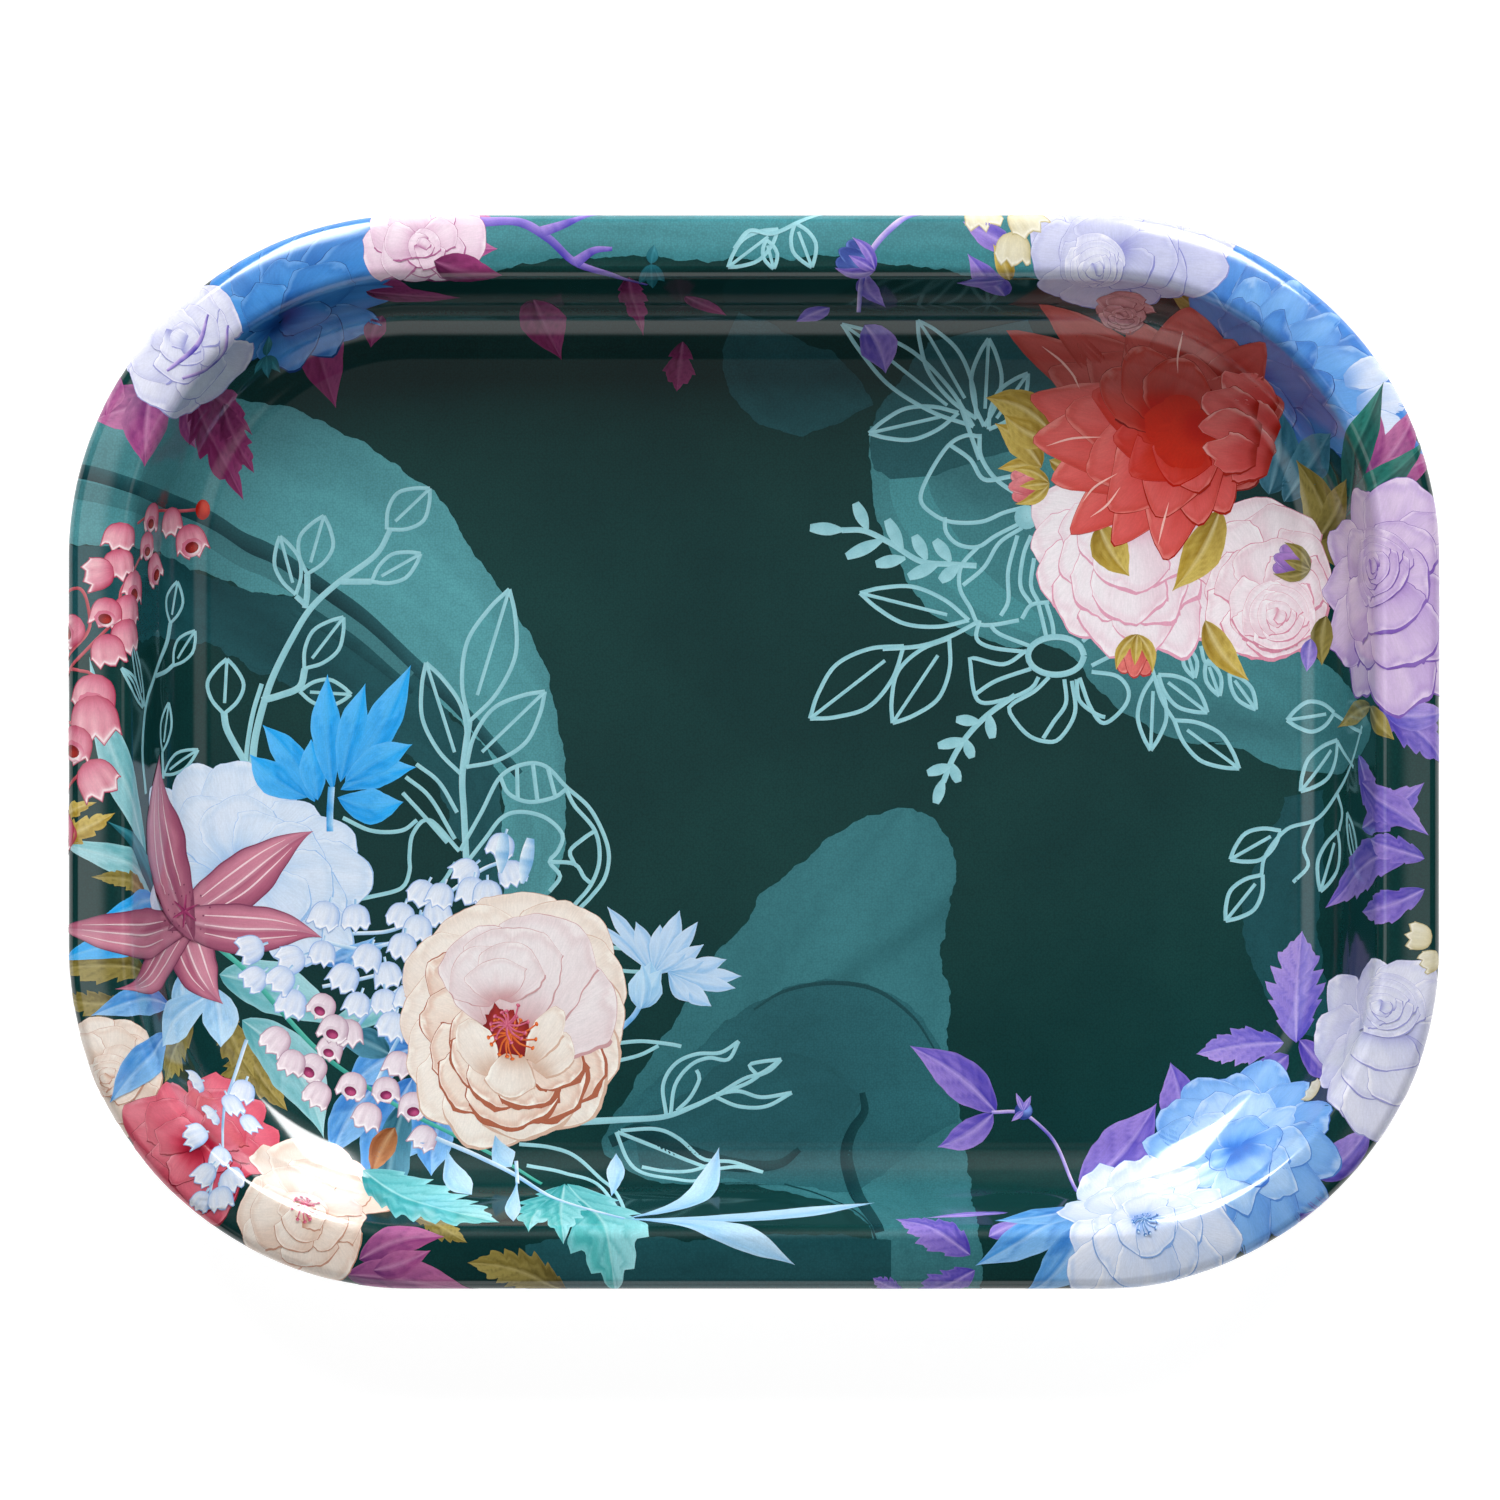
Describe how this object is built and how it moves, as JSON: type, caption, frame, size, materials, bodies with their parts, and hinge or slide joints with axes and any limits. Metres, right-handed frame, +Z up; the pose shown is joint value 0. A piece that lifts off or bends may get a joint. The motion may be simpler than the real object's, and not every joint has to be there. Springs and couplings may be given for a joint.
{
  "type": "serving tray",
  "caption": "Small rectangular tray with wide rounded corners, flared walls, a domed rim rolled over an edge wire, and a glossy floral printed face.",
  "frame": {"origin": "on the table, under the middle of the base", "axes": "+X along the length, +Y across the width towards the back edge of the picture, +Z up out of the face"},
  "size_m": [0.18, 0.141, 0.015],
  "materials": {
    "tinplate": "bright tinplate under clear lacquer, lightly scratched",
    "print": "dark green ground printed with flowers, under high-gloss clear varnish",
    "wire": "galvanised mild steel wire, dull"
  },
  "bodies": {
    "root": {"pressed_pan": "tinplate", "printed_coat": "print", "rim_wire": "wire"}
  },
  "joints": []
}
